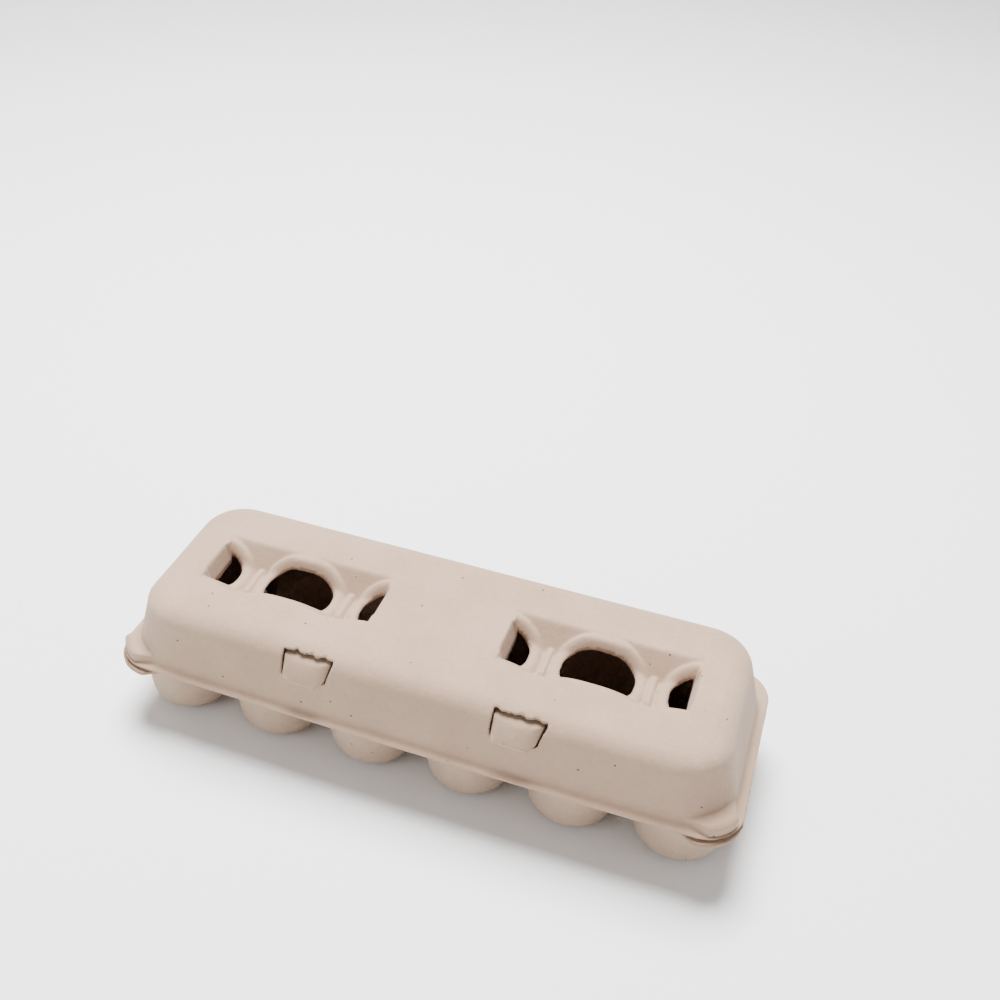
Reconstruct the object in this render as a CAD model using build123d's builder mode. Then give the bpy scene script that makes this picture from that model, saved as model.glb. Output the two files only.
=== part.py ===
"""A moulded-pulp carton for twelve eggs, closed. Millimetres, +Z up.

The origin is in the middle of the footprint, on the surface that the cups stand on.
+X runs along the carton, -Y is the side with the latches and +Y is the side with the hinge.
The carton is one moulding: each node is a region of it, and the regions meet face to face.
"""
import os
from math import atan, cos, radians, sin, tan

from build123d import *

os.makedirs("parts", exist_ok=True)

# Pulp
WALL = 1.8  # thickness of the moulded sheet
CUT_PAST = 2.0  # how far a cut runs past what it cuts

# Cups, in columns along X and two rows along Y
COLUMNS = 6
COLUMN_PITCH = 48.0
ROW_PITCH = 46.0
CUP_GAP = 1.2  # between neighbouring cups, outside, at the deck
CUP_TAPER = 3.0  # how much smaller the radius is where the side's line would meet the floor
CUP_HEEL_ROUND = 12.0  # rounding between the floor and the side
DECK_Z = 34.5  # height of the tray's rim

# Posts between the cups
POST_BASE = 17.0  # across flats, at the deck
POST_TOP = 11.0
POST_BASE_ROUND = 5.0
POST_TOP_ROUND = 3.5
POST_HOLE_RADIUS = 2.6
POST_CLEARANCE = 0.5  # under the floors of the lid's wells

# Rims of the tray and the lid
RIM_END = 2.0  # beyond the outer columns' pitch
RIM_SIDE = 7.0  # beyond the rows' pitch
RIM_CORNER = 18.0
RIM_GAP = 0.3  # between the closed rims
HINGE_END_MARGIN = 21.0
HINGE_THICKNESS = 1.2

# Lid
LID_END_FLANGE = 3.8  # width of the lid's rim at its ends
LID_SIDE_FLANGE = 3.5
LID_HEIGHT = 34.2
LID_END_DRAFT = 15.0  # degrees from vertical
LID_SIDE_DRAFT = 10.5
LID_CORNER_BASE = 23.0
LID_CORNER_TOP = 22.0
LID_SHOULDER = 9.0
LID_TOP_BAND = 11.0  # height of the region that holds the top panel and the shoulder
LID_END_REGION = 24.0  # length of each end region, measured along X at the base
PAD_HEIGHT = 4.4  # raised corner pads at the latch side, above the rim
PAD_INSET = 0.8
PAD_LENGTH = 22.0
PAD_WIDTH = 19.0

# View wells in the lid's top
WELL_END_MARGIN = 5.5  # from a well's end to the middle of the outer or inner column it reaches
WELL_END_RUN = 3.0  # how far its end walls slope inwards
WELL_WIDTH = 33.0
WELL_SIDE_RUN = 9.0
WELL_DEPTH = 12.0
WELL_ROUND = 2.0
WINDOW_LENGTH = 35.0
WINDOW_WIDTH = 21.0
RIB_WIDTH = 2.4
RIB_HEIGHT = 1.4

# Front flap, its crease and its two lugs
FLAP_END_MARGIN = 28.0
FLAP_TOP_CLEARANCE = 5.8  # below the lid's top
FLAP_CORNER = 16.0
FLAP_LEAN = 17.0  # degrees, the top leans towards the eggs
FLAP_LID_GAP = 1.07  # from the flap's axis to the inside of the lid's wall
FLAP_SEAT = 0.3  # above the deck
CREASE_THICKNESS = 0.6
CREASE_GAP = 0.2
LUG_WIDTH = 17.0
LUG_HEIGHT = 7.2
LUG_TOP_DEPTH = 7.0  # below the lid's top
LUG_BLANK_DEPTH = 20.0  # behind the flap's axis, before the lug is cut off at the flap
LUG_PROUD = 2.4  # beyond the lid's wall
LUG_HOOK_DROP = 2.2
LUG_HOOK_GAP = 0.3
SLOT_TOP_PLAY = 4.0  # each side of a lug, at the slot's top
SLOT_BOTTOM_PLAY = 2.0
SLOT_ABOVE = 3.6  # from a lug's top to the slot's top
SLOT_BELOW = 0.6

# Worked out from the values above
CUP_TOP_RADIUS = (min(COLUMN_PITCH, ROW_PITCH) - CUP_GAP) / 2
CUP_HEEL_RADIUS = CUP_TOP_RADIUS - CUP_TAPER
RIM_LENGTH = COLUMNS * COLUMN_PITCH + 2 * RIM_END
RIM_WIDTH = 2 * (ROW_PITCH + RIM_SIDE)
HINGE_LENGTH = RIM_LENGTH - 2 * HINGE_END_MARGIN
LID_BASE_LENGTH = RIM_LENGTH - 2 * LID_END_FLANGE
LID_BASE_WIDTH = RIM_WIDTH - 2 * LID_SIDE_FLANGE
LID_BASE_Z = DECK_Z + RIM_GAP
LID_TOP_Z = LID_BASE_Z + LID_HEIGHT
LID_TOP_PANEL_Z = LID_TOP_Z - LID_TOP_BAND
WELL_CENTRE = COLUMNS / 4 * COLUMN_PITCH
WELL_LENGTH = 2 * (COLUMN_PITCH - WELL_END_MARGIN)
WELL_FLOOR_LENGTH = WELL_LENGTH - 2 * WELL_END_RUN
WELL_FLOOR_WIDTH = WELL_WIDTH - 2 * WELL_SIDE_RUN
WELL_FLOOR_Z = LID_TOP_Z - WELL_DEPTH
POST_TOP_Z = WELL_FLOOR_Z - WALL - POST_CLEARANCE
FLAP_LENGTH = RIM_LENGTH - 2 * FLAP_END_MARGIN
FLAP_HEIGHT = (LID_TOP_Z - FLAP_TOP_CLEARANCE - DECK_Z) / cos(radians(FLAP_LEAN))
FLAP_AXIS_Y = WALL / cos(radians(LID_SIDE_DRAFT)) + FLAP_LID_GAP - LID_BASE_WIDTH / 2
LUG_CENTRE = COLUMN_PITCH
LUG_TOP_Z = LID_TOP_Z - LUG_TOP_DEPTH
LUG_BASE_Z = LUG_TOP_Z - LUG_HEIGHT
SLOT_TOP_WIDTH = LUG_WIDTH + 2 * SLOT_TOP_PLAY
SLOT_BOTTOM_WIDTH = LUG_WIDTH + 2 * SLOT_BOTTOM_PLAY
SLOT_TOP_Z = LUG_TOP_Z + SLOT_ABOVE
SLOT_BOTTOM_Z = LUG_BASE_Z - SLOT_BELOW
column_xs = [(i - (COLUMNS - 1) / 2) * COLUMN_PITCH for i in range(COLUMNS)]
post_xs = [(i - (COLUMNS - 2) / 2) * COLUMN_PITCH for i in range(COLUMNS - 1)]
row_ys = {"front": -ROW_PITCH / 2, "rear": ROW_PITCH / 2}


def finish(part, name):
    """Label a finished region and write it."""
    part.label = name
    export_step(part, f"parts/{name}.step")


# Tray -----------------------------------------------------------------------------------


def upright_plane(x, y):
    """The XZ plane through a point, with local y pointing up."""
    return Plane(origin=(x, y, 0), x_dir=(1, 0, 0), z_dir=(0, -1, 0))


def cup_form(x, y, inset):
    """A round bowl, filled in, with its side and floor moved in by inset."""
    with BuildPart() as form:
        with BuildSketch(upright_plane(x, y)):
            with BuildLine():
                heel = (CUP_HEEL_RADIUS - inset, inset)
                lip = (CUP_TOP_RADIUS - inset, DECK_Z)
                FilletPolyline((0, inset), heel, lip, radius=CUP_HEEL_ROUND - inset)
                Polyline(lip, (0, DECK_Z), (0, inset))
            make_face()
        revolve(axis=Axis((x, y, 0), (0, 0, 1)))
    return form.part


def post_form(x, inset):
    """A tapered square post standing on one corner, filled in, moved in by inset."""
    base_z = DECK_Z - WALL
    with BuildPart() as form:
        with BuildSketch(Plane(origin=(x, 0, base_z), x_dir=(1, 1, 0), z_dir=(0, 0, 1))):
            side = POST_BASE - 2 * inset
            RectangleRounded(side, side, POST_BASE_ROUND - inset)
        with BuildSketch(Plane(origin=(x, 0, POST_TOP_Z - inset), x_dir=(1, 1, 0), z_dir=(0, 0, 1))):
            side = POST_TOP - 2 * inset
            RectangleRounded(side, side, POST_TOP_ROUND - inset)
        loft(ruled=True)
    return form.part


cup_places = {(row, i): (x, y) for row, y in row_ys.items() for i, x in enumerate(column_xs)}
cup_forms = {place: cup_form(x, y, 0) for place, (x, y) in cup_places.items()}
cup_hollows = {place: cup_form(x, y, WALL) for place, (x, y) in cup_places.items()}
post_forms = [post_form(x, 0) for x in post_xs]
post_hollows = [post_form(x, WALL) for x in post_xs]

for (row, i), form in cup_forms.items():
    with BuildPart() as cup:
        add(form)
        add(cup_hollows[row, i], mode=Mode.SUBTRACT)
    finish(cup.part, f"cup_{row}_{i + 1}")

for i, x in enumerate(post_xs):
    with BuildPart() as post:
        add(post_forms[i])
        add(post_hollows[i], mode=Mode.SUBTRACT)
        with BuildSketch(Plane.XY.offset(POST_TOP_Z - WALL - CUT_PAST)):
            with Locations((x, 0)):
                Circle(POST_HOLE_RADIUS)
        extrude(amount=WALL + 2 * CUT_PAST, mode=Mode.SUBTRACT)
    finish(post.part, f"post_{i + 1}")

with BuildPart() as deck:
    with BuildSketch(Plane.XY.offset(DECK_Z - WALL)):
        RectangleRounded(RIM_LENGTH, RIM_WIDTH, RIM_CORNER)
        with Locations((0, RIM_WIDTH / 2)):
            Rectangle(HINGE_LENGTH, 2 * HINGE_THICKNESS, mode=Mode.SUBTRACT)
        with Locations((0, FLAP_AXIS_Y - CREASE_GAP)):
            Rectangle(FLAP_LENGTH, RIM_WIDTH, align=(Align.CENTER, Align.MAX), mode=Mode.SUBTRACT)
    extrude(amount=WALL)
    for form in list(cup_forms.values()) + post_forms:
        add(form, mode=Mode.SUBTRACT)

deck_bands = {
    "tray_rim_front": (-RIM_WIDTH / 2, row_ys["front"]),
    "tray_ridges": (row_ys["front"], row_ys["rear"]),
    "tray_rim_rear": (row_ys["rear"], RIM_WIDTH / 2),
}
for name, (y_low, y_high) in deck_bands.items():
    with BuildPart() as band:
        add(deck.part)
        with BuildSketch(Plane.XY.offset(DECK_Z - WALL)):
            with Locations((0, y_low)):
                Rectangle(RIM_LENGTH, y_high - y_low, align=(Align.CENTER, Align.MIN))
        extrude(amount=WALL, mode=Mode.INTERSECT)
    finish(band.part, name)

with BuildPart() as hinge_web:
    with BuildSketch(Plane.XY.offset(DECK_Z - WALL)):
        with Locations((0, RIM_WIDTH / 2)):
            Rectangle(HINGE_LENGTH, HINGE_THICKNESS, align=(Align.CENTER, Align.MAX))
    extrude(amount=2 * WALL + RIM_GAP)
finish(hinge_web.part, "hinge_web")

# Lid ------------------------------------------------------------------------------------


def lid_section(z, inset):
    """Length and width of the lid's outline at a height, moved in by inset."""
    rise = z - LID_BASE_Z
    end = radians(LID_END_DRAFT)
    side = radians(LID_SIDE_DRAFT)
    length = LID_BASE_LENGTH - 2 * (rise * tan(end) + inset / cos(end))
    width = LID_BASE_WIDTH - 2 * (rise * tan(side) + inset / cos(side))
    return length, width


def lid_form(inset):
    """The lid's dome, filled in, with its walls and top moved in by inset."""
    with BuildPart() as form:
        with BuildSketch(Plane.XY.offset(LID_BASE_Z)):
            RectangleRounded(*lid_section(LID_BASE_Z, inset), LID_CORNER_BASE - inset)
        with BuildSketch(Plane.XY.offset(LID_TOP_Z - inset)):
            RectangleRounded(*lid_section(LID_TOP_Z - inset, inset), LID_CORNER_TOP - inset)
        loft(ruled=True)
        top = form.faces().sort_by(Axis.Z)[-1]
        fillet(top.edges(), radius=LID_SHOULDER - inset)
    return form.part


end_slope = (WELL_LENGTH - WELL_FLOOR_LENGTH) / 2 / WELL_DEPTH
side_slope = (WELL_WIDTH - WELL_FLOOR_WIDTH) / 2 / WELL_DEPTH


def well_form(x, outset):
    """The space of a well, with its sides and floor moved out by outset."""
    grow_length = 2 * outset / cos(atan(end_slope))
    grow_width = 2 * outset / cos(atan(side_slope))
    with BuildPart() as form:
        with BuildSketch(Plane.XY.offset(LID_TOP_Z)):
            with Locations((x, 0)):
                RectangleRounded(WELL_LENGTH + grow_length, WELL_WIDTH + grow_width, WELL_ROUND + outset)
        with BuildSketch(Plane.XY.offset(WELL_FLOOR_Z - outset)):
            length = WELL_FLOOR_LENGTH + grow_length - 2 * outset * end_slope
            width = WELL_FLOOR_WIDTH + grow_width - 2 * outset * side_slope
            with Locations((x, 0)):
                RectangleRounded(length, width, WELL_ROUND + outset)
        loft(ruled=True)
    return form.part


well_xs = {"left": -WELL_CENTRE, "right": WELL_CENTRE}
lug_xs = {"left": -LUG_CENTRE, "right": LUG_CENTRE}
lid_outer = lid_form(0)
lid_inner = lid_form(WALL)
well_outers = {side: well_form(x, WALL) for side, x in well_xs.items()}
well_inners = {side: well_form(x, 0) for side, x in well_xs.items()}

with BuildPart() as lid_dome:
    add(lid_outer)
    add(lid_inner, mode=Mode.SUBTRACT)
    for form in well_outers.values():
        add(form, mode=Mode.SUBTRACT)
    for x in lug_xs.values():
        with BuildSketch(upright_plane(x, -RIM_WIDTH / 2)):
            with BuildLine():
                Polyline(
                    (-SLOT_BOTTOM_WIDTH / 2, SLOT_BOTTOM_Z),
                    (SLOT_BOTTOM_WIDTH / 2, SLOT_BOTTOM_Z),
                    (SLOT_TOP_WIDTH / 2, SLOT_TOP_Z),
                    (-SLOT_TOP_WIDTH / 2, SLOT_TOP_Z),
                    close=True,
                )
            make_face()
        extrude(amount=-(LUG_BLANK_DEPTH + RIM_WIDTH / 2 + FLAP_AXIS_Y), mode=Mode.SUBTRACT)

end_x = LID_BASE_LENGTH / 2 - LID_END_REGION
low = (LID_BASE_Z, LID_TOP_PANEL_Z)
half_length = RIM_LENGTH / 2
half_width = RIM_WIDTH / 2
lid_regions = {
    "lid_top": ((-half_length, half_length), (-half_width, half_width), (LID_TOP_PANEL_Z, LID_TOP_Z)),
    "lid_front_wall": ((-end_x, end_x), (-half_width, 0), low),
    "lid_rear_wall": ((-end_x, end_x), (0, half_width), low),
    "lid_left_end": ((-half_length, -end_x), (-half_width, half_width), low),
    "lid_right_end": ((end_x, half_length), (-half_width, half_width), low),
}
for name, ((x_low, x_high), (y_low, y_high), (z_low, z_high)) in lid_regions.items():
    with BuildPart() as region:
        add(lid_dome.part)
        with BuildSketch(Plane.XY.offset(z_low)):
            with Locations(((x_low + x_high) / 2, (y_low + y_high) / 2)):
                Rectangle(x_high - x_low, y_high - y_low)
        extrude(amount=z_high - z_low, mode=Mode.INTERSECT)
    finish(region.part, name)

with BuildPart() as lid_rim:
    with BuildSketch(Plane.XY.offset(LID_BASE_Z)):
        RectangleRounded(RIM_LENGTH, RIM_WIDTH, RIM_CORNER)
        with Locations((0, RIM_WIDTH / 2)):
            Rectangle(HINGE_LENGTH, 2 * HINGE_THICKNESS, mode=Mode.SUBTRACT)
    extrude(amount=WALL)
    add(lid_outer, mode=Mode.SUBTRACT)
finish(lid_rim.part, "lid_rim")

for side, x_end in {"left": -RIM_LENGTH / 2, "right": RIM_LENGTH / 2}.items():
    with BuildPart() as pad:
        with BuildSketch(Plane.XY.offset(LID_BASE_Z + WALL)):
            RectangleRounded(RIM_LENGTH - 2 * PAD_INSET, RIM_WIDTH - 2 * PAD_INSET, RIM_CORNER - PAD_INSET)
            with Locations((x_end, -RIM_WIDTH / 2)):
                Rectangle(2 * PAD_LENGTH, 2 * PAD_WIDTH, mode=Mode.INTERSECT)
        extrude(amount=PAD_HEIGHT)
        add(lid_outer, mode=Mode.SUBTRACT)
    finish(pad.part, f"corner_pad_{side}")

for side, x in well_xs.items():
    with BuildPart() as well:
        add(well_outers[side])
        add(well_inners[side], mode=Mode.SUBTRACT)
        with BuildSketch(Plane.XY.offset(WELL_FLOOR_Z)):
            with Locations((x - COLUMN_PITCH / 2, 0), (x + COLUMN_PITCH / 2, 0)):
                Rectangle(RIB_WIDTH, WELL_FLOOR_WIDTH)
        extrude(amount=RIB_HEIGHT)
        with BuildSketch(Plane.XY.offset(WELL_FLOOR_Z - WALL - CUT_PAST)):
            with Locations((x - COLUMN_PITCH, 0), (x, 0), (x + COLUMN_PITCH, 0)):
                Ellipse(WINDOW_LENGTH / 2, WINDOW_WIDTH / 2)
            with Locations((x, 0)):
                Rectangle(WELL_FLOOR_LENGTH, WELL_WIDTH, mode=Mode.INTERSECT)
        extrude(amount=WELL_DEPTH + WALL + 2 * CUT_PAST, mode=Mode.SUBTRACT)
    finish(well.part, f"view_well_{side}")

# Front flap -----------------------------------------------------------------------------

flap_outward = Vector(0, -cos(radians(FLAP_LEAN)), sin(radians(FLAP_LEAN)))
flap_plane = Plane(origin=(0, FLAP_AXIS_Y, DECK_Z), x_dir=(1, 0, 0), z_dir=flap_outward)

with BuildPart() as front_flap:
    with BuildSketch(flap_plane):
        Rectangle(FLAP_LENGTH, FLAP_HEIGHT, align=(Align.CENTER, Align.MIN))
        chamfer(vertices().group_by(Axis.Y)[-1], length=FLAP_CORNER)
    extrude(amount=-WALL)
    split(bisect_by=Plane.XY.offset(DECK_Z + FLAP_SEAT), keep=Keep.TOP)
finish(front_flap.part, "front_flap")

with BuildPart() as flap_crease:
    with BuildSketch(Plane.XY.offset(DECK_Z - WALL)):
        with Locations((0, FLAP_AXIS_Y - CREASE_GAP)):
            Rectangle(FLAP_LENGTH, CREASE_THICKNESS, align=(Align.CENTER, Align.MAX))
    extrude(amount=WALL + FLAP_SEAT)
finish(flap_crease.part, "flap_crease")


def lid_wall_y(z):
    """Y of the lid's front wall, on its outside."""
    return -lid_section(z, 0)[1] / 2


hook_z = LUG_BASE_Z - LUG_HOOK_DROP
back_y = FLAP_AXIS_Y + LUG_BLANK_DEPTH
for side, x in lug_xs.items():
    with BuildPart() as lug:
        with BuildSketch(Plane(origin=(x - LUG_WIDTH / 2, 0, 0), x_dir=(0, 1, 0), z_dir=(1, 0, 0))):
            with BuildLine():
                Polyline(
                    (back_y, LUG_BASE_Z),
                    (lid_wall_y(LUG_BASE_Z) - LUG_HOOK_GAP, LUG_BASE_Z),
                    (lid_wall_y(hook_z) - LUG_HOOK_GAP, hook_z),
                    (lid_wall_y(hook_z) - LUG_PROUD, hook_z),
                    (lid_wall_y(LUG_BASE_Z) - LUG_PROUD, LUG_BASE_Z),
                    (lid_wall_y(LUG_TOP_Z), LUG_TOP_Z),
                    (back_y, LUG_TOP_Z),
                    close=True,
                )
            make_face()
        extrude(amount=LUG_WIDTH)
        split(bisect_by=flap_plane, keep=Keep.TOP)
    finish(lug.part, f"lug_{side}")
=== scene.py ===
"""Looks of a moulded-pulp egg carton: lid, cup tray, front flap with its lugs, and the two creases.

Shapes are worked out in millimetres and scaled to metres when a piece is finished.
The lid and the tray start as a thin skin, whose windows, slots and outline are cut and torn,
and which is then given the thickness of the pulp.
"""
import math
from bisect import bisect_right

import bmesh
import bpy
from mathutils import Matrix, Vector, noise


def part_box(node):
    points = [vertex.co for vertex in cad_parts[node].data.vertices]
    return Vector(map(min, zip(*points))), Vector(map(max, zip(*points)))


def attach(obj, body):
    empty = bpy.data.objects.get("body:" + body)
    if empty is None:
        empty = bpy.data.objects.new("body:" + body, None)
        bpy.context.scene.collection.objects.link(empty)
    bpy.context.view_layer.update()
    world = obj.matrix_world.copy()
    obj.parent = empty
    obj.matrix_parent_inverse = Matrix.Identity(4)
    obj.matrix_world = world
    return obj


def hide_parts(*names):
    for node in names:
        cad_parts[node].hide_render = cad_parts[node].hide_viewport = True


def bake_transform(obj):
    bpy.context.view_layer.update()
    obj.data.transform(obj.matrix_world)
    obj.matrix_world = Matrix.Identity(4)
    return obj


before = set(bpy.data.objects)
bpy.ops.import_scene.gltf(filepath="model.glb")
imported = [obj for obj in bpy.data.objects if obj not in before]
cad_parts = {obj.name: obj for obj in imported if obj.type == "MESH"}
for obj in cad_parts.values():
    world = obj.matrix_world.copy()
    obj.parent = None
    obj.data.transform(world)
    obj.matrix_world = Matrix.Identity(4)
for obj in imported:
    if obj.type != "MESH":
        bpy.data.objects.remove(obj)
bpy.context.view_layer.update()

MM = 0.001
UP = Vector((0, 0, 1))
WALL = 1.8


def box_mm(node):
    """Lowest and highest corner of a frame node, in millimetres."""
    low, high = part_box(node)
    return Vector(low) / MM, Vector(high) / MM


# Sizes taken from the frame -------------------------------------------------------------

rim_high = box_mm("lid_rim")[1]
top_high = box_mm("lid_top")[1]
well_low, well_high = box_mm("view_well_right")
deck_high = box_mm("tray_ridges")[1]
cups = [f"cup_{row}_{i}" for row in ("front", "rear") for i in range(1, 7)]
posts = [f"post_{i}" for i in range(1, 6)]
cup_boxes = [box_mm(node) for node in cups]
post_boxes = [box_mm(node) for node in posts]
flap_low, flap_high = box_mm("front_flap")
crease_high = box_mm("flap_crease")[1]
hinge_low, hinge_high = box_mm("hinge_web")

SKIN_MARGIN = 0.45  # the mesh stays this far inside the frame's box
TOP_Z = top_high.z - SKIN_MARGIN
RIM_TOP_Z = rim_high.z
DECK_Z = deck_high.z

# The lid's outline: flat panel, shoulder, drafted wall, foot and flange
SHOULDER = 9.5
END_DRAFT = math.radians(15.0)
SIDE_DRAFT = math.radians(10.5)
PANEL_HALF = (rim_high.x - 20.0, rim_high.y - 17.2)
PANEL_CORNER = 13.5
PANEL_CROWN = 0.35  # drop of the panel 45 mm from its long middle line; the shoulders start this low
WALL_CORNER = 23.0
RIM_CORNER = 17.5
RIM_HALF = (rim_high.x - SKIN_MARGIN, rim_high.y - SKIN_MARGIN)
FRONT_BOW = 1.5  # the ends of the front edge sit this far behind its middle
PAD_TOP_Z = RIM_TOP_Z + 4.6  # corner pads beside the latch side
PAD_INSET = 0.9
FOOT_Z = RIM_TOP_Z + 1.6  # where the wall starts to turn out into the flange
PAD_EDGE = (0.3, 0.0, -0.2, -0.7, -1.7)  # stations about the pads' upper edge
FLANGE = ((0.10, 0.75), (0.24, 0.25), (0.42, 0.02), (0.58, -0.10), (0.74, -0.02), (0.88, 0.0))  # reach, rise
SHOULDER_STEPS = 10
WALL_STEPS = 13
WALL_END = SHOULDER_STEPS + WALL_STEPS + len(PAD_EDGE) + 1  # number of stations above the flange

# The view wells
WELL_X = (well_low.x + well_high.x) / 2
WELL_HALF = (42.5, 16.5)
WELL_FOOT = (39.5, 7.6)
WELL_DEPTH = 12.0
NEAR_DIP = 3.0  # the latch side of a well is this much wider beside the ribs
WINDOW_HALF = (16.4, 10.6)
WINDOW_POWER = 2.7  # 2 is an ellipse; more is fuller at the corners
WINDOW_PITCH = 48.0
RING_LOW = 2.2  # height of the rounded ring round a window, at its ends and at its sides
RING_HIGH = 4.4
RING_NEAR = 2.6  # the same on the latch side, where the panel's edge hides it
RING_PLACE = 2.3  # from the window's edge to the ring's crest
RING_HALF = 3.6
RIB_X = WINDOW_PITCH / 2 - 0.6
RIB_HALF = 1.5
RIB_HEIGHT = 2.7

# Latch slots in the front wall
SLOT_X = 48.0
SLOT_LOW_Z = 54.2
SLOT_HIGH_Z = 66.2
SLOT_LEFT = 10.4  # from a slot's middle to its left side, which stands upright
SLOT_RIGHT = 10.4  # at the bottom; the right side leans outwards
SLOT_LEAN = 3.4
FRONT_REGION_Y = -30.0  # the front wall and its slots are all on the latch side of this
FAR = 9.0  # level of a point well away from any opening


# Small helpers --------------------------------------------------------------------------


def clamp(value, low=0.0, high=1.0):
    return max(low, min(high, value))


def ease(t):
    """Smooth step from 0 to 1."""
    t = clamp(t)
    return t * t * (3 - 2 * t)


def mix(a, b, t):
    return a + (b - a) * t


def soft_max(a, b, radius):
    """The larger of two heights, with a rounded valley of about this radius."""
    gap = clamp(0.5 + 0.5 * (a - b) / radius)
    return mix(b, a, gap) + radius * gap * (1 - gap)


def soft_min(a, b, radius):
    return -soft_max(-a, -b, radius)


def grit(x, y, z, size):
    """Smooth noise between about -1 and 1, with lumps of the given size in millimetres."""
    return noise.noise(Vector((x, y, z)) / size)


def spread(half, dense):
    """Map -1..1 to -half..half, with lines closer together near each (place, width, gain)."""
    steps = 800
    xs = [half * (2 * i / steps - 1) for i in range(steps + 1)]
    total = [0.0]
    for a, b in zip(xs, xs[1:]):
        middle = (a + b) / 2
        weight = 1 + sum(gain * math.exp(-(((middle - at) / width) ** 2)) for at, width, gain in dense)
        total.append(total[-1] + weight)

    def place(t):
        want = (t + 1) / 2 * total[-1]
        k = min(bisect_right(total, want), steps) - 1
        return mix(xs[k], xs[k + 1], (want - total[k]) / (total[k + 1] - total[k]))

    return place


TRIM_PROBE = 0.05  # distance over which a slope is measured
TRIM_STEP = 0.8  # longest single step of an edge point
TRIM_REACH = 1.6  # a point that ends further than this from its place goes back


def trim(bm, level, drop, ragged=0.0):
    """Cut a skin where level is below zero, and pull the new edge onto the line where it is zero.

    level takes a point; drop puts a moved point back on the surface. At a sharp corner the slope of level
    can be nearly flat, so the length of a step is limited."""
    inside = [f for f in bm.faces if level(f.calc_center_median()) < 0]
    edge_before = {v for e in bm.edges if e.is_boundary for v in e.verts}
    bmesh.ops.delete(bm, geom=inside, context="FACES")
    edge = {v for e in bm.edges if e.is_boundary for v in e.verts} - edge_before
    for v in edge:
        start = v.co.copy()
        for _ in range(4):
            here = level(v.co)
            slope = Vector((level(v.co + Vector((TRIM_PROBE, 0, 0))) - here,
                            level(v.co + Vector((0, TRIM_PROBE, 0))) - here,
                            level(v.co + Vector((0, 0, TRIM_PROBE))) - here)) / TRIM_PROBE
            if slope.length < 1e-6:
                break
            move = slope * (here / slope.length_squared)
            if move.length > TRIM_STEP:
                move.length = TRIM_STEP
            v.co = drop(v.co - move)
        if (v.co - start).length > TRIM_REACH:
            v.co = start
        if ragged:
            tear = ragged * (grit(*v.co, 2.2) + 0.5 * grit(*v.co, 0.9))
            v.co = drop(v.co + slope.normalized() * tear)
    return edge


def draw_rings(bm, ring, stations, place):
    """Extrude an open edge ring by ring.

    ring gives each vertex of the edge its origin, and place gives a new spot from an origin and a station."""
    for station in stations:
        edges = [e for e in bm.edges if e.is_boundary and e.verts[0] in ring and e.verts[1] in ring]
        made = bmesh.ops.extrude_edge_only(bm, edges=edges)["geom"]
        outer = {}
        for v in (g for g in made if isinstance(g, bmesh.types.BMVert)):
            origin = next(ring[e.other_vert(v)] for e in v.link_edges if e.other_vert(v) in ring)
            outer[v] = origin
            v.co = place(origin, station)
        ring = outer
    return ring


def face_outwards(bm, outward):
    """Make a skin's faces point the given way."""
    bmesh.ops.recalc_face_normals(bm, faces=bm.faces)
    if sum(f.normal.dot(outward) for f in bm.faces) < 0:
        bmesh.ops.reverse_faces(bm, faces=bm.faces)


def patch(corners, s, t):
    """A point between four corners: lower left, lower right, upper left, upper right."""
    low = corners[0].lerp(corners[1], (s + 1) / 2)
    high = corners[2].lerp(corners[3], (s + 1) / 2)
    return low.lerp(high, (t + 1) / 2)


def relax(bm, verts, factor):
    """Smooth the given vertices by one step."""
    bmesh.ops.smooth_vert(bm, verts=verts, factor=factor, use_axis_x=True, use_axis_y=True, use_axis_z=True)


def to_object(bm, name, *materials):
    """Scale a finished bmesh to metres and make it an object with its materials."""
    bmesh.ops.scale(bm, vec=(MM, MM, MM), verts=bm.verts)
    for f in bm.faces:
        f.smooth = True
    mesh = bpy.data.meshes.new(name)
    bm.to_mesh(mesh)
    bm.free()
    piece = bpy.data.objects.new(name, mesh)
    bpy.context.scene.collection.objects.link(piece)
    for material in materials:
        mesh.materials.append(material)
    return piece


def settle(piece):
    """Put the result of a piece's modifiers into its mesh."""
    ready = piece.evaluated_get(bpy.context.evaluated_depsgraph_get())
    mesh = bpy.data.meshes.new_from_object(ready)
    piece.modifiers.clear()
    old = piece.data
    piece.data = mesh
    bpy.data.meshes.remove(old)


TORN_ROUGHNESS = 0.12  # on the edges of the holes and the rim


def thicken(piece, wall, rough, rough_side=1):
    """Give a skin its thickness inwards. The rough side, 0 for the skin and 1 for the new one, is felted."""
    solid = piece.modifiers.new("pulp", "SOLIDIFY")
    solid.thickness = wall * MM
    solid.offset = -1
    solid.material_offset = 1
    solid.material_offset_rim = 2
    settle(piece)
    bm = bmesh.new()
    bm.from_mesh(piece.data)
    rough_verts = {v for f in bm.faces if f.material_index == rough_side for v in f.verts}
    cut = {v for f in bm.faces if f.material_index == 2 for v in f.verts}
    felt = [v for v in bm.verts if v in rough_verts and v not in cut]
    cut = [v for v in bm.verts if v in cut]
    relax(bm, felt, 0.5)
    relax(bm, felt, 0.5)
    bm.normal_update()
    for v in felt:
        x, y, z = v.co / MM
        lumps = grit(x, y, z, 7) + 0.6 * grit(x + 40, y, z, 2.8)
        v.co += v.normal * (rough * lumps * MM)
    for v in cut:
        x, y, z = v.co / MM
        v.co += v.normal * (TORN_ROUGHNESS * grit(x, y, z, 1.3) * MM)
    for f in bm.faces:
        f.smooth = True
    bm.to_mesh(piece.data)
    bm.free()


# Pulp -----------------------------------------------------------------------------------


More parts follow.
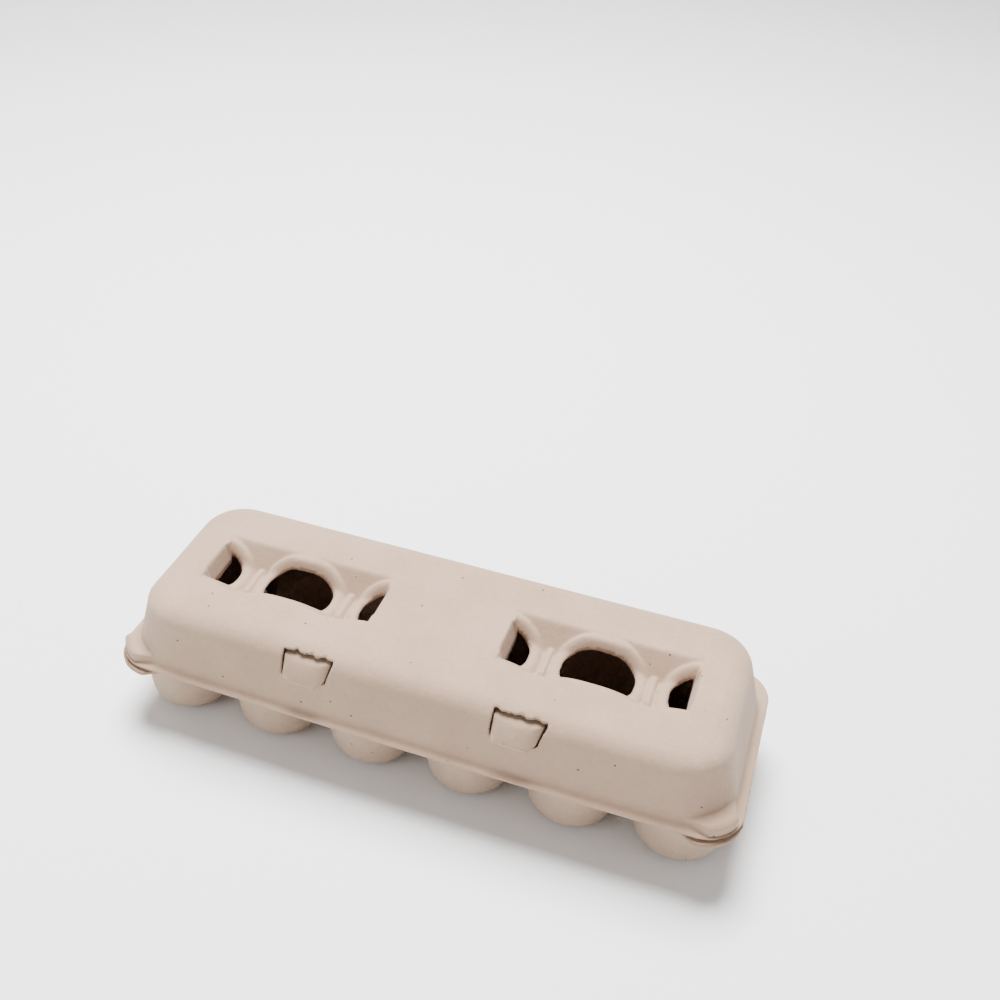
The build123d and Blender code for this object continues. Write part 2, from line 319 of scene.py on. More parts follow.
def ramp(nodes, source, stops):
    """A colour ramp with the given (place, grey) stops."""
    node = nodes.new("ShaderNodeValToRGB")
    while len(node.color_ramp.elements) < len(stops):
        node.color_ramp.elements.new(0.5)
    for element, (place, grey) in zip(node.color_ramp.elements, stops):
        element.position = place
        element.color = (grey, grey, grey, 1)
    node.id_data.links.new(source, node.inputs[0])
    return node.outputs[0]


def feed(socket, value):
    """Link an output to a socket, or set the socket to a number or colour."""
    if hasattr(value, "is_output"):
        socket.node.id_data.links.new(value, socket)
    else:
        socket.default_value = value


def blend_colour(nodes, amount, low, high, how="MIX"):
    """Combine two colours or sockets, by a factor socket or number."""
    node = nodes.new("ShaderNodeMix")
    node.data_type = "RGBA"
    node.blend_type = how
    for socket, value in ((node.inputs[0], amount), (node.inputs[6], low), (node.inputs[7], high)):
        feed(socket, value)
    return node.outputs[2]


def combine(nodes, operation, *values):
    """A sum or product of sockets and numbers."""
    node = nodes.new("ShaderNodeMath")
    node.operation = operation
    for socket, value in zip(node.inputs, values):
        feed(socket, value)
    return node.outputs[0]


# Scales of the patterns; a higher one is finer
MOTTLE_SCALE = 38
TINT_SCALE = 420
SPECK_SCALE = 130
LUMP_SCALE = 90
FIBRE_SCALE = 700
FUZZ_SCALE = 1900
WIRE_SCALE = 470
SPECK_INK = (0.07, 0.05, 0.035, 1)


def pulp(name, light, dark, fibre, screen, lump, speck):
    """Moulded pulp. light and dark are its two tones; the other values are how strong each detail is."""
    material = bpy.data.materials.new(name)
    material.use_nodes = True
    tree = material.node_tree
    nodes, links = tree.nodes, tree.links
    shader = nodes["Principled BSDF"]
    shader.inputs["Roughness"].default_value = 0.88
    shader.inputs["Specular IOR Level"].default_value = 0.25
    shader.inputs["Sheen Weight"].default_value = 0.12
    shader.inputs["Sheen Roughness"].default_value = 0.6
    place = nodes.new("ShaderNodeTexCoord").outputs["Object"]

    def cloud(scale, detail, rough=0.55, stretch=(1, 1, 1)):
        shift = nodes.new("ShaderNodeMapping")
        shift.inputs["Scale"].default_value = stretch
        links.new(place, shift.inputs[0])
        node = nodes.new("ShaderNodeTexNoise")
        node.inputs["Scale"].default_value = scale
        node.inputs["Detail"].default_value = detail
        node.inputs["Roughness"].default_value = rough
        links.new(shift.outputs[0], node.inputs["Vector"])
        return node.outputs["Fac"]

    mottle = ramp(nodes, cloud(MOTTLE_SCALE, 5, 0.6), ((0.3, 0), (0.72, 1)))
    fine = ramp(nodes, cloud(TINT_SCALE, 4, 0.7), ((0.3, 0), (0.7, 1)))
    tone = blend_colour(nodes, mottle, (*dark, 1), (*light, 1))
    tint = blend_colour(nodes, fine, (0.93, 0.93, 0.925, 1), (1.03, 1.03, 1.03, 1))
    colour = blend_colour(nodes, 1, tone, tint, "MULTIPLY")

    # Specks: a few dark fibres and bits of ink from the recycled paper
    cells = nodes.new("ShaderNodeTexVoronoi")
    cells.inputs["Scale"].default_value = SPECK_SCALE
    links.new(place, cells.inputs["Vector"])
    near = ramp(nodes, cells.outputs["Distance"], ((0.05, 1), (0.085, 0)))
    chance = nodes.new("ShaderNodeSeparateColor")
    links.new(cells.outputs["Color"], chance.inputs[0])
    rare = ramp(nodes, chance.outputs[0], ((1 - speck, 0), (1.0 - speck + 0.002, 1)))
    colour = blend_colour(nodes, combine(nodes, "MULTIPLY", near, rare), colour, SPECK_INK)
    links.new(colour, shader.inputs["Base Color"])

    # Relief: soft lumps, felted fibre and the wire screen of the mould
    lumps = combine(nodes, "MULTIPLY", cloud(LUMP_SCALE, 3), lump)
    felt = combine(nodes, "MULTIPLY", cloud(FIBRE_SCALE, 5, 0.72, (1, 0.55, 0.8)), fibre)
    fuzz = combine(nodes, "MULTIPLY", cloud(FUZZ_SCALE, 3, 0.6), fibre * 0.5)
    height = combine(nodes, "ADD", combine(nodes, "ADD", lumps, felt), fuzz)
    wires = nodes.new("ShaderNodeTexWave")
    wires.bands_direction = "Z"
    wires.inputs["Scale"].default_value = WIRE_SCALE
    wires.inputs["Distortion"].default_value = 2.2
    wires.inputs["Detail"].default_value = 1
    wires.inputs["Detail Scale"].default_value = 0.6
    links.new(place, wires.inputs["Vector"])
    height = combine(nodes, "MULTIPLY_ADD", wires.outputs["Fac"], screen, height)
    bump = nodes.new("ShaderNodeBump")
    bump.inputs["Strength"].default_value = 1.0
    bump.inputs["Distance"].default_value = MM
    links.new(height, bump.inputs["Height"])
    links.new(bump.outputs[0], shader.inputs["Normal"])
    return material


smooth_pulp = pulp("smooth_pulp", (0.412, 0.282, 0.200), (0.362, 0.243, 0.168), 0.20, 0.02, 0.28, 0.5)
felt_pulp = pulp("felt_pulp", (0.415, 0.270, 0.188), (0.355, 0.225, 0.150), 0.50, 0.02, 0.45, 0.4)
torn_pulp = pulp("torn_pulp", (0.405, 0.265, 0.170), (0.290, 0.190, 0.115), 1.00, 0.0, 0.60, 0.4)
cup_pulp = pulp("cup_pulp", (0.385, 0.272, 0.194), (0.345, 0.240, 0.168), 0.25, 0.02, 0.20, 0.5)


# Lid ------------------------------------------------------------------------------------


def from_window(du, dv):
    """Distance outside a window's edge, which is fuller than an ellipse, from its middle."""
    total = abs(du / WINDOW_HALF[0]) ** WINDOW_POWER + abs(dv / WINDOW_HALF[1]) ** WINDOW_POWER
    reach = total ** (1 / WINDOW_POWER)
    return (reach - 1) * math.hypot(du, dv) / max(reach, 0.05)


def well_depth(x, y):
    """How far the lid's top lies below the panel, at a point of one of its wells."""
    u, v = abs(x) - WELL_X, y
    if abs(u) > WELL_HALF[0] + 3 or abs(v) > WELL_HALF[1] + 3:
        return 0.0
    beside_rib = math.exp(-(((abs(u) - RIB_X) / 8.0) ** 2)) if v < 0 else 0.0
    side = (abs(v) - WELL_FOOT[1]) * WELL_DEPTH / (WELL_HALF[1] + NEAR_DIP * beside_rib - WELL_FOOT[1])
    end = (abs(u) - WELL_FOOT[0]) * WELL_DEPTH / (WELL_HALF[0] - WELL_FOOT[0])
    floor = soft_max(soft_max(0.0, side, 1.6), end, 1.6)
    for middle in (-WINDOW_PITCH, 0, WINDOW_PITCH):
        du = u - middle
        away = from_window(du, v)
        if away < -6:
            continue
        toward_side = abs(v) / math.hypot(du, v)
        high = RING_HIGH if v > 0 else RING_NEAR
        crest = mix(RING_LOW, high, ease(toward_side * 1.15))
        off_crest = clamp(abs(away - RING_PLACE) / RING_HALF)
        floor = floor + crest * (1 - off_crest ** 2) ** 0.8
    for middle in (-RIB_X, RIB_X):
        beside = ease((RIB_HALF + 0.35 - abs(u - middle)) / 0.7)
        along = ease((WELL_FOOT[1] + 1.4 - abs(v)) / 1.0)
        floor = mix(floor, max(floor, RIB_HEIGHT), beside * along)
    return WELL_DEPTH - soft_min(WELL_DEPTH, floor, 1.3)


def panel_z(x, y):
    """Height of the lid's top panel, wells and windows' lips included."""
    crown = PANEL_CROWN * (1 - (y / 45) ** 2) - PANEL_CROWN
    sag = 0.16 * grit(x, y, 3, 55) + 0.05 * grit(x, y, 9, 14)
    return TOP_Z + crown + sag - well_depth(x, y)


def lid_profile(draft, half, rim_half):
    """Stations down the lid's side, as (half size, height), from the panel's edge to the rim's edge."""
    stations = []
    shoulder_top = TOP_Z - PANEL_CROWN
    for i in range(1, SHOULDER_STEPS + 1):
        angle = (math.pi / 2 - draft) * i / SHOULDER_STEPS
        stations.append((half + SHOULDER * math.sin(angle), shoulder_top - SHOULDER * (1 - math.cos(angle))))
    start, high = stations[-1]
    heights = [mix(high, PAD_TOP_Z + 0.9, i / WALL_STEPS) for i in range(1, WALL_STEPS + 1)]
    heights += [PAD_TOP_Z + rise for rise in PAD_EDGE] + [FOOT_Z]
    for z in heights:
        stations.append((start + (high - z) * math.tan(draft), z))
    base = stations[-1][0]
    reach = rim_half - base
    for share, rise in FLANGE:
        stations.append((base + reach * share, RIM_TOP_Z + rise))
    stations.append((rim_half - 0.12, RIM_TOP_Z - 0.22))
    stations.append((rim_half, RIM_TOP_Z - 0.75))
    return stations


end_profile = lid_profile(END_DRAFT, PANEL_HALF[0], RIM_HALF[0])
side_profile = lid_profile(SIDE_DRAFT, PANEL_HALF[1], RIM_HALF[1])


def corner_radius(k):
    """Corner radius of the lid's outline at a station."""
    if k < SHOULDER_STEPS:
        return mix(PANEL_CORNER, WALL_CORNER - 1, (k + 1) / SHOULDER_STEPS)
    if k < WALL_END:
        return mix(WALL_CORNER - 1, WALL_CORNER, (k - SHOULDER_STEPS + 1) / (WALL_END - SHOULDER_STEPS))
    return mix(WALL_CORNER, RIM_CORNER, ease((k - WALL_END + 1) / (len(end_profile) - WALL_END)))


def outline_anchor(x, y):
    """Where a point of the panel's edge lies on any of the lid's outlines: straight part and normal."""
    a, b = PANEL_HALF[0] - PANEL_CORNER, PANEL_HALF[1] - PANEL_CORNER
    p = clamp((abs(x) - a) / PANEL_CORNER)
    q = clamp((abs(y) - b) / PANEL_CORNER)
    sx, sy = math.copysign(1, x), math.copysign(1, y)
    if p > 0 and q > 0:
        normal = (sx * p * math.sqrt(1 - q * q / 2), sy * q * math.sqrt(1 - p * p / 2))
        return sx, sy, *normal
    if q > 0:
        return x / a, sy, 0.0, sy
    return sx, y / b, sx, 0.0


def outline_point(anchor, half, radius, z):
    fx, fy, nx, ny = anchor
    return Vector((fx * (half[0] - radius) + nx * radius, fy * (half[1] - radius) + ny * radius, z))


def pad_share(anchor, z):
    """1 on the raised pads at the two front corners, 0 elsewhere on the lid's side."""
    nx, ny = anchor[2], anchor[3]
    round_corner = ease((abs(nx) - 0.24) / 0.07) * ease((-ny - 0.26) / 0.10)
    return round_corner * ease((PAD_TOP_Z + 0.15 - z) / 0.3)


def bow(co):
    """The front edge bows outward: its ends sit further back than its middle."""
    if co.y < 0:
        drop = ease((TOP_Z - co.z) / 30) * ease(-co.y / 40)
        co.y += FRONT_BOW * drop * (co.x / RIM_HALF[0]) ** 2
    return co


def lid_side_point(anchor, k):
    """A point of the lid's side at a station."""
    across = anchor[3] ** 2
    half_x, z_end = end_profile[k]
    half_y, z_side = side_profile[k]
    z = mix(z_end, z_side, across)
    radius = corner_radius(k)
    share = pad_share(anchor, z) if SHOULDER_STEPS <= k < len(end_profile) - 3 else 0.0
    if share:
        half_x = mix(half_x, max(half_x, RIM_HALF[0] - PAD_INSET), share)
        half_y = mix(half_y, max(half_y, RIM_HALF[1] - PAD_INSET), share)
        radius = mix(radius, RIM_CORNER - PAD_INSET, share)
        if k >= WALL_END:
            z = mix(z, z - 0.1, share)
    co = outline_point(anchor, (half_x, half_y), radius, z)
    wave = 0.16 * grit(co.x, co.y, co.z, 34) + 0.05 * grit(co.x, co.y, co.z, 9)
    co += Vector((anchor[2], anchor[3], 0)) * (wave - 0.1)
    return bow(co)


def front_wall_y(x, z):
    """Y of the lid's front wall at a height."""
    half = side_profile[0][0]
    for (half_a, z_a), (half_b, z_b) in zip(side_profile, side_profile[1:]):
        if z_b <= z <= z_a:
            half = mix(half_a, half_b, (z_a - z) / (z_a - z_b))
            break
    return bow(Vector((x, -half, z))).y


def lid_skin():
    """The lid's outer skin, with its windows and slots cut."""
    bm = bmesh.new()
    bmesh.ops.create_grid(bm, x_segments=290, y_segments=74, size=1)
    ends = [(s * (WELL_X + t * (WELL_HALF[0] - 1.5)), 2.4, 2.6) for s in (-1, 1) for t in (-1, 1)]
    ribs = [(s * (WELL_X + t * RIB_X), 2.0, 1.6) for s in (-1, 1) for t in (-1, 1)]
    wells = [(s * WELL_X, 44.0, 0.7) for s in (-1, 1)]
    place_x = spread(PANEL_HALF[0], ends + ribs + wells)
    place_y = spread(PANEL_HALF[1], [(s * 11.5, 6.5, 1.8) for s in (-1, 1)])
    anchors = {}
    for v in bm.verts:
        x, y = place_x(v.co.x), place_y(v.co.y)
        anchor = outline_anchor(x, y)
        if v.is_boundary:
            anchors[v] = anchor
        a, b = PANEL_HALF[0] - PANEL_CORNER, PANEL_HALF[1] - PANEL_CORNER
        if abs(x) > a and abs(y) > b:
            x, y = outline_point(anchor, PANEL_HALF, PANEL_CORNER, 0).xy
        v.co = Vector((x, y, panel_z(x, y)))
    draw_rings(bm, anchors, range(len(end_profile)), lid_side_point)
    face_outwards(bm, UP)
    cut_windows(bm)
    cut_slots(bm)
    return bm


def window_level(co):
    """Distance from the edge of the nearest window, below zero inside it."""
    if co.z < TOP_Z - WELL_DEPTH - 4 or abs(co.y) > WELL_HALF[1] + 0.5:
        return FAR
    u, v = abs(co.x) - WELL_X, co.y
    best = FAR
    for middle in (-WINDOW_PITCH, 0, WINDOW_PITCH):
        best = min(best, max(from_window(u - middle, v), abs(u) - WELL_FOOT[0] - 0.4))
    return best


def cut_windows(bm):
    trim(bm, window_level, lambda co: Vector((co.x, co.y, panel_z(co.x, co.y))), ragged=0.12)


def slot_level(co):
    """Distance from the edge of the nearest latch slot, below zero inside it."""
    if co.y > FRONT_REGION_Y or co.z < SLOT_LOW_Z - 6:
        return FAR
    u = co.x - math.copysign(SLOT_X, co.x)
    torn = 0.8 * grit(co.x, 0, 0, 3.4) + 0.5 * grit(co.x, 5, 0, 1.2)
    lean = SLOT_LEAN * (co.z - SLOT_LOW_Z) / (SLOT_HIGH_Z - SLOT_LOW_Z)
    return max(u - SLOT_RIGHT - lean, -SLOT_LEFT - u, co.z - SLOT_HIGH_Z - torn, SLOT_LOW_Z - co.z)


def cut_slots(bm):
    trim(bm, slot_level, lambda co: Vector((co.x, front_wall_y(co.x, co.z), co.z)), ragged=0.08)


def make_lid():
    lid = to_object(lid_skin(), "lid_shell", smooth_pulp, felt_pulp, torn_pulp)
    thicken(lid, WALL - 0.1, 0.28)
    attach(lid, "lid")
    nodes = ["lid_rim", "lid_front_wall", "lid_rear_wall", "lid_left_end", "lid_right_end", "lid_top"]
    nodes += ["view_well_left", "view_well_right", "corner_pad_left", "corner_pad_right"]
    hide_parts(*[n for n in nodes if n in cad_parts])


make_lid()


# Tray -----------------------------------------------------------------------------------

CUP_RADIUS = (cup_boxes[0][1].x - cup_boxes[0][0].x) / 2 - WALL  # inside, at the deck
CUP_TAPER = 3.0
CUP_HEEL = 10.2
CUP_LIP = 1.2  # rounding from the deck into a cup
SADDLE_DEPTH = 8.5
POST_BASE = 8.5  # half across flats
POST_TOP = 5.5
POST_FOOT = 1.8  # rounding from the deck into a post
POST_HOLE = 2.6
cup_centres = [Vector(((low.x + high.x) / 2, (low.y + high.y) / 2)) for low, high in cup_boxes]
post_centres = [Vector(((low.x + high.x) / 2, (low.y + high.y) / 2)) for low, high in post_boxes]
post_top = post_boxes[0][1].z
NOTCH_HALF = (flap_high.x - flap_low.x) / 2
NOTCH_Y = crease_high.y


def deck_z(x, y):
    """Height of the tray's deck. It dips in a saddle between neighbouring cups."""
    dip = 0.0
    row_y = cup_centres[-1].y
    for centre in cup_centres:
        dip = max(dip, math.exp(-(((x - centre.x) / 9.5) ** 2) - (y / 7.0) ** 2))
    for centre in post_centres:
        dip = max(dip, math.exp(-(((abs(y) - row_y) / 10.5) ** 2) - ((x - centre.x) / 7.0) ** 2))
    return DECK_Z - 0.4 - SADDLE_DEPTH * dip + 0.12 * grit(x, y, 0, 25)


def on_deck(co):
    return Vector((co.x, co.y, deck_z(co.x, co.y)))


def rounded_square(x, y, half, corner):
    """Distance outside a square that stands on one corner."""
    a = abs(x + y) / math.sqrt(2) - (half - corner)
    b = abs(x - y) / math.sqrt(2) - (half - corner)
    return math.hypot(max(a, 0), max(b, 0)) + min(max(a, b), 0) - corner


def outline_level(co):
    """Above zero inside the tray's outline, which has a notch for the flap."""
    a = abs(co.x) - (RIM_HALF[0] - RIM_CORNER)
    b = abs(co.y) - (RIM_HALF[1] - RIM_CORNER)
    inside = RIM_CORNER - math.hypot(max(a, 0), max(b, 0)) - min(max(a, b), 0)
    if co.y < 0:
        inside = min(inside, max(co.y - NOTCH_Y, abs(co.x) - NOTCH_HALF - 1.8 * (NOTCH_Y - co.y)))
    return inside


def cup_level(co):
    return min((co.xy - centre).length for centre in cup_centres) - CUP_RADIUS - CUP_LIP


def post_level(co):
    gap = math.inf
    for centre in post_centres:
        x, y = co.xy - centre
        gap = min(gap, rounded_square(x, y, POST_BASE + POST_FOOT, 6.5))
    return gap


def cup_stations():
    """Share of the way down the wall, or radius and height, for each ring of a cup."""
    stations = [("lip", math.radians(a)) for a in (22, 45, 68, 88)]
    stations += [("wall", i / 9) for i in range(1, 10)]
    stations += [("heel", math.radians(a)) for a in (12, 24, 36, 48, 60, 72, 84, 90)]
    stations += [("floor", share) for share in (0.7, 0.4, 0.15)]
    return stations


def sink_cup(bm, centre, edge):
    heel_z = WALL + CUP_HEEL
    heel_x = CUP_RADIUS - CUP_TAPER * (DECK_Z - heel_z) / DECK_Z - CUP_HEEL

    def place(origin, station):
        kind, value = station
        out = (origin.xy - centre).normalized()
        top = origin.z - CUP_LIP
        if kind == "lip":
            radius = CUP_RADIUS + CUP_LIP * (1 - math.sin(value))
            z = top + CUP_LIP * math.cos(value)
        elif kind == "wall":
            z = mix(top, heel_z, value)
            radius = mix(CUP_RADIUS, heel_x + CUP_HEEL, ((top - z) / (top - heel_z)))
        elif kind == "heel":
            radius = heel_x + CUP_HEEL * math.cos(value)
            z = heel_z - CUP_HEEL * math.sin(value)
        else:
            radius, z = heel_x * value, WALL + 0.02
        radius += 0.14 * grit(out.x * 12 + centre.x, out.y * 12 + centre.y, z, 9)
        return Vector((centre.x + out.x * radius, centre.y + out.y * radius, z))

    last = draw_rings(bm, {v: v.co.copy() for v in edge}, cup_stations(), place)
    bmesh.ops.pointmerge(bm, verts=list(last), merge_co=Vector((centre.x, centre.y, WALL + 0.02)))


def raise_post(bm, centre, edge):
    stations = [("foot", math.radians(a)) for a in (25, 50, 75, 88)]
    stations += [("wall", i / 13) for i in range(1, 14)]
    stations += [("crown", math.radians(a)) for a in (30, 60, 88)]
    stations += [("hole", 0.5), ("hole", 1.0)]
    crown = 1.6

    def place(origin, station):
        kind, value = station
        offset = origin.xy - centre
        reach = POST_BASE + POST_FOOT
        if kind == "foot":
            half = POST_BASE + POST_FOOT * (1 - math.sin(value))
            z = origin.z + POST_FOOT * (1 - math.cos(value))
        elif kind == "wall":
            z = mix(origin.z + POST_FOOT, post_top - crown, value)
            half = mix(POST_BASE, POST_TOP, value ** 0.85)
        elif kind == "crown":
            half = POST_TOP - crown * (1 - math.cos(value))
            z = post_top - crown + crown * math.sin(value)
        else:
            half = POST_TOP - crown
            z = post_top - 0.25 * value + 0.3 * grit(origin.x, origin.y, centre.x, 1.6) * value
        spot = offset * (half / reach)
        if kind == "hole":
            torn = POST_HOLE * (1 + 0.22 * grit(offset.x, offset.y, centre.x, 2.4))
            spot = spot.lerp(offset.normalized() * torn, value)
        wave = 0.25 * grit(origin.x, origin.y, z, 6)
        spot += offset.normalized() * wave * (kind == "wall")
        return Vector((centre.x + spot.x, centre.y + spot.y, z))

    draw_rings(bm, {v: v.co.copy() for v in edge}, stations, place)


def tray_skin():
    """The tray's upper skin: deck, cups and posts."""
    bm = bmesh.new()
    bmesh.ops.create_grid(bm, x_segments=208, y_segments=88, size=1)
    place_y = spread(rim_high.y + 1.0, [(0.0, 3.0, 1.2)])
    for v in bm.verts:
        v.co = on_deck(Vector((v.co.x * (rim_high.x + 1.0), place_y(v.co.y), 0)))
    trim(bm, outline_level, on_deck, ragged=0.22)
    cup_edge = trim(bm, cup_level, on_deck)
    post_edge = trim(bm, post_level, on_deck)
    face_outwards(bm, UP)
    for centre in cup_centres:
        sink_cup(bm, centre, [v for v in cup_edge if (v.co.xy - centre).length < CUP_RADIUS + 2 * CUP_LIP])
    for centre in post_centres:
        raise_post(bm, centre, [v for v in post_edge if (v.co.xy - centre).length < 2 * POST_BASE])
    face_outwards(bm, UP)
    return bm


def make_tray():
    tray = to_object(tray_skin(), "tray_shell", felt_pulp, cup_pulp, torn_pulp)
    thicken(tray, WALL - 0.05, 0.25, rough_side=0)
    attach(tray, "tray")
    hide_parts(*cups, *posts, "tray_rim_front", "tray_ridges", "tray_rim_rear")


make_tray()


# Flap and lugs --------------------------------------------------------------------------

FLAP_LEAN = math.radians(17.0)
FLAP_FOOT = Vector((0, flap_low.y, flap_low.z))
FLAP_UP = Vector((0, math.sin(FLAP_LEAN), math.cos(FLAP_LEAN)))
FLAP_OUT = Vector((0, -math.cos(FLAP_LEAN), math.sin(FLAP_LEAN)))
FLAP_HALF = flap_high.x
FLAP_RISE = (flap_high.z - flap_low.z) / math.cos(FLAP_LEAN) - 0.4
FLAP_CORNER = 16.0
LUG_FACE_Z = (52.7, 63.3)  # lowest and highest edge of a lug's face
LUG_NECK_Z = (55.0, 63.6)  # where it passes through its slot
LUG_PROUD = 2.3


def on_flap(co):
    """Put a point on the flap's outer face, which is very slightly wavy."""
    wave = 0.12 * grit(co.x, 0, co.z, 30) - 0.12
    rise = (co - FLAP_FOOT).dot(FLAP_UP)
    return Vector((co.x, 0, 0)) + Vector((0, FLAP_FOOT.y, FLAP_FOOT.z)) + FLAP_UP * rise + FLAP_OUT * wave


def flap_level(co):
    """Above zero inside the flap's outline, whose upper corners are cut off."""
    rise = (co - FLAP_FOOT).dot(FLAP_UP)
    corner = (FLAP_HALF - abs(co.x) + FLAP_RISE - rise - FLAP_CORNER) / math.sqrt(2)
    return min(FLAP_HALF - abs(co.x), FLAP_RISE - rise, rise, corner)


def make_flap():
    bm = bmesh.new()
    bmesh.ops.create_grid(bm, x_segments=170, y_segments=24, size=1)
    for v in bm.verts:
        rise = (v.co.y + 1) / 2 * (FLAP_RISE + 2) - 1
        v.co = on_flap(Vector((v.co.x * (FLAP_HALF + 1), 0, 0)) + FLAP_FOOT + FLAP_UP * rise)
    face_outwards(bm, FLAP_OUT)
    trim(bm, flap_level, on_flap, ragged=0.3)
    flap = to_object(bm, "flap_shell", smooth_pulp, felt_pulp, torn_pulp)
    thicken(flap, WALL - 0.1, 0.2)
    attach(flap, "flap")
    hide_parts("front_flap")


def lug_loops(x):
    """Corners of a lug's face, of its neck in the slot, of its root and of its foot on the flap."""
    low, high = LUG_FACE_Z
    face = [
        Vector((x - 8.8, front_wall_y(x, low) - LUG_PROUD, low)),
        Vector((x + 6.4, front_wall_y(x, low) - LUG_PROUD - 0.3, low)),
        Vector((x - 9.4, front_wall_y(x, high) + 0.6, high)),
        Vector((x + 9.2, front_wall_y(x, high) + 0.4, high)),
    ]
    low, high = LUG_NECK_Z
    neck = [
        Vector((x - 9.5, front_wall_y(x, low) - 0.5, low)),
        Vector((x + 9.9, front_wall_y(x, low) + 0.6, low)),
        Vector((x - 9.9, front_wall_y(x, high) + 2.2, high)),
        Vector((x + 12.0, front_wall_y(x, high) + 2.2, high)),
    ]
    rises = [(c.z - FLAP_FOOT.z) / FLAP_UP.z for c in neck]
    root = [on_flap(Vector((c.x, 0, 0)) + FLAP_FOOT + FLAP_UP * rise) for c, rise in zip(neck, rises)]
    foot = [c + Vector((1.5 * math.copysign(1, c.x - x), 0, 0)) - FLAP_OUT * 0.4 for c in root]
    foot = [c - FLAP_UP * 1.5 * (1 if i < 2 else -1) for i, c in enumerate(foot)]
    root = [c + FLAP_OUT * 0.9 for c in root]
    return face, neck, root, foot


def make_lug(side, x):
    face, neck, root, foot = lug_loops(x)
    bm = bmesh.new()
    bmesh.ops.create_grid(bm, x_segments=26, y_segments=16, size=1)
    spots = {}
    for v in bm.verts:
        s, t = v.co.x, v.co.y
        if v.is_boundary:
            spots[v] = (s, t)
        crown = 0.7 * (1 - s ** 2) * (1 - t ** 2) - 0.5 * max(abs(s), abs(t)) ** 8
        v.co = patch(face, s, t) + FLAP_OUT * (crown + 0.1 * grit(s * 9 + x, t * 6, 0, 3))

    def place(spot, station):
        start, end, share = station
        co = patch(start, *spot).lerp(patch(end, *spot), share)
        if start is face:
            co -= FLAP_OUT * 0.5 * (1 - share)
        return co

    rings = [(face, neck, k / 5) for k in (0.5, 1.6, 3, 4, 5)]
    rings += [(neck, root, k / 5) for k in range(1, 6)] + [(root, foot, k / 2) for k in (1, 2)]
    draw_rings(bm, spots, rings, place)
    inner = [v for v in bm.verts if not v.is_boundary]
    relax(bm, inner, 0.4)
    face_outwards(bm, FLAP_OUT)
    lug = to_object(bm, f"lug_shell_{side}", smooth_pulp, felt_pulp, torn_pulp)
    thicken(lug, 1.2, 0.1)
    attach(lug, "flap")
    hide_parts(f"lug_{side}")


# Folds ----------------------------------------------------------------------------------


def make_fold(name, half, section, thickness, outward):
    """A strip along X whose section is a list of (y, z) points."""
    bm = bmesh.new()
    bmesh.ops.create_grid(bm, x_segments=180, y_segments=len(section) - 1, size=1)
    for v in bm.verts:
        y, z = section[round((v.co.y + 1) / 2 * (len(section) - 1))]
        x = v.co.x * half
        wave = 0.08 * grit(x, y, z, 5) * -math.copysign(1, outward.y)
        v.co = Vector((x, y + wave, z + 0.1 * grit(x, z, 0, 9)))
    face_outwards(bm, outward)
    fold = to_object(bm, name, smooth_pulp, felt_pulp, torn_pulp)
    thicken(fold, thickness, 0.08)
    return fold


def make_hinge():
    """The rear fold: half round, from under the tray's rim to over the lid's."""
    middle = (hinge_low.z + hinge_high.z) / 2
    radius = (hinge_high.z - hinge_low.z) / 2 - 0.15
    axis_y = hinge_high.y - 0.25 - radius
    angles = [math.radians(-90 + 15 * i) for i in range(13)]
    section = [(axis_y + radius * math.cos(a), middle + radius * math.sin(a)) for a in angles]
    fold = make_fold("hinge_fold", hinge_high.x, section, 1.0, Vector((0, 1, 0)))
    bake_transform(fold)
    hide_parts("hinge_web")


def make_crease():
    """The front fold, from the tray's edge to the foot of the flap."""
    y, z = NOTCH_Y, DECK_Z
    section = [(y + 0.5, z - 1.5), (y, z - 1.4), (y - 0.35, z - 1.0), (y - 0.45, z - 0.5), (y - 0.45, z),
               (y - 0.35, z + 0.5), (y - 0.1, z + 1.0), (y + 0.25, z + 1.5)]
    fold = make_fold("crease_fold", FLAP_HALF - 0.5, section, 0.8, Vector((0, -1, 0)))
    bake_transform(fold)
    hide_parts("flap_crease")


make_flap()
make_lug("left", -SLOT_X)
make_lug("right", SLOT_X)
make_hinge()
make_crease()


# Studio ---------------------------------------------------------------------------------


def plain(name, colour, roughness):
    material = bpy.data.materials.new(name)
    material.use_nodes = True
    shader = material.node_tree.nodes["Principled BSDF"]
    shader.inputs["Base Color"].default_value = (*colour, 1)
    shader.inputs["Roughness"].default_value = roughness
    return material


FLOOR_HALF = 6000.0  # in millimetres, while the camera and the lights are placed in metres
CAMERA_AIM = Vector((-0.0475, 0.11279, 0))
CAMERA_AWAY = 0.6471
CAMERA_TURNS = (19.76, 39.71, 1.61)  # degrees round from the front, up from the floor, and about its own axis
CAMERA_LENS = 1.14  # focal length over sensor width


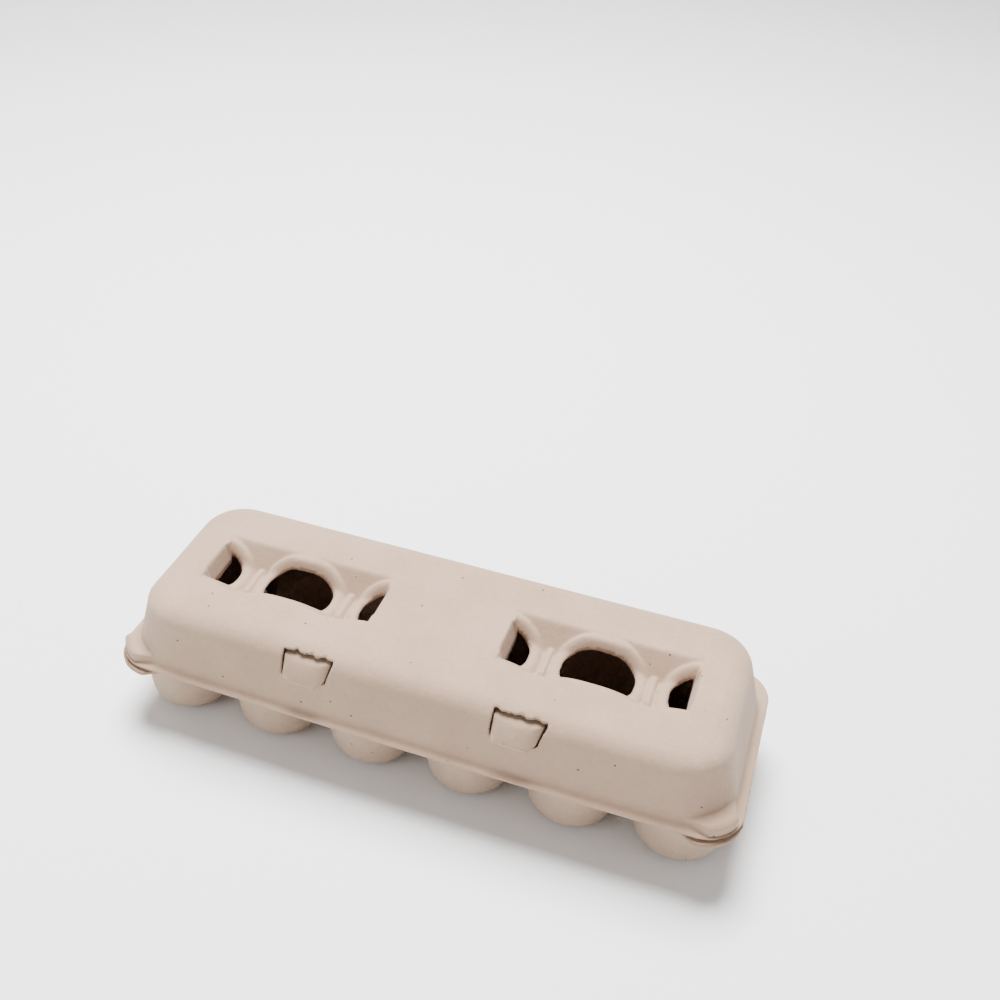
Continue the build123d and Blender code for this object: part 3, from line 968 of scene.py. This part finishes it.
def make_floor():
    bm = bmesh.new()
    bmesh.ops.create_grid(bm, x_segments=1, y_segments=1, size=FLOOR_HALF)
    floor = to_object(bm, "floor", plain("floor_paint", (0.9, 0.9, 0.9), 0.9))


def soft_light(name, place, target, size, power):
    lamp = bpy.data.lights.new(name, "AREA")
    lamp.shape = "DISK"
    lamp.size = size
    lamp.energy = power
    light = bpy.data.objects.new(name, lamp)
    bpy.context.scene.collection.objects.link(light)
    light.location = place
    light.rotation_euler = (Vector(target) - Vector(place)).to_track_quat("-Z", "Y").to_euler()


def make_lights():
    carton = (0, 0, 0.03)
    soft_light("key", (-0.25, 0.45, 1.55), carton, 1.0, 112)
    soft_light("side", (1.6, -0.3, 0.8), carton, 1.0, 5)
    soft_light("fill", (-0.75, -0.85, 0.5), (-0.1, 0, 0.03), 0.8, 5)
    world = bpy.data.worlds.new("studio")
    world.use_nodes = True
    background = world.node_tree.nodes["Background"]
    background.inputs["Color"].default_value = (1, 1, 1, 1)
    background.inputs["Strength"].default_value = 0.42
    bpy.context.scene.world = world


def make_camera():
    """A camera above and to the right of the front, turned a little about its own axis."""
    azimuth, height, roll = (math.radians(a) for a in CAMERA_TURNS)
    level = math.cos(height)
    back = Vector((math.sin(azimuth) * level, -math.cos(azimuth) * level, math.sin(height)))
    right = (-back).cross(UP).normalized()
    up = right.cross(-back)
    turned_right = right * math.cos(roll) + up * math.sin(roll)
    turned_up = up * math.cos(roll) - right * math.sin(roll)
    place = CAMERA_AIM + back * CAMERA_AWAY
    data = bpy.data.cameras.new("camera")
    data.sensor_width = 36
    data.lens = CAMERA_LENS * data.sensor_width
    data.shift_x = 0.07
    data.shift_y = 0.06
    data.clip_start = 0.01
    camera = bpy.data.objects.new("camera", data)
    bpy.context.scene.collection.objects.link(camera)
    turn = Matrix((turned_right, turned_up, back)).transposed().to_4x4()
    camera.matrix_world = Matrix.Translation(place) @ turn
    bpy.context.scene.camera = camera


make_floor()
make_lights()
make_camera()

bpy.context.view_layer.update()
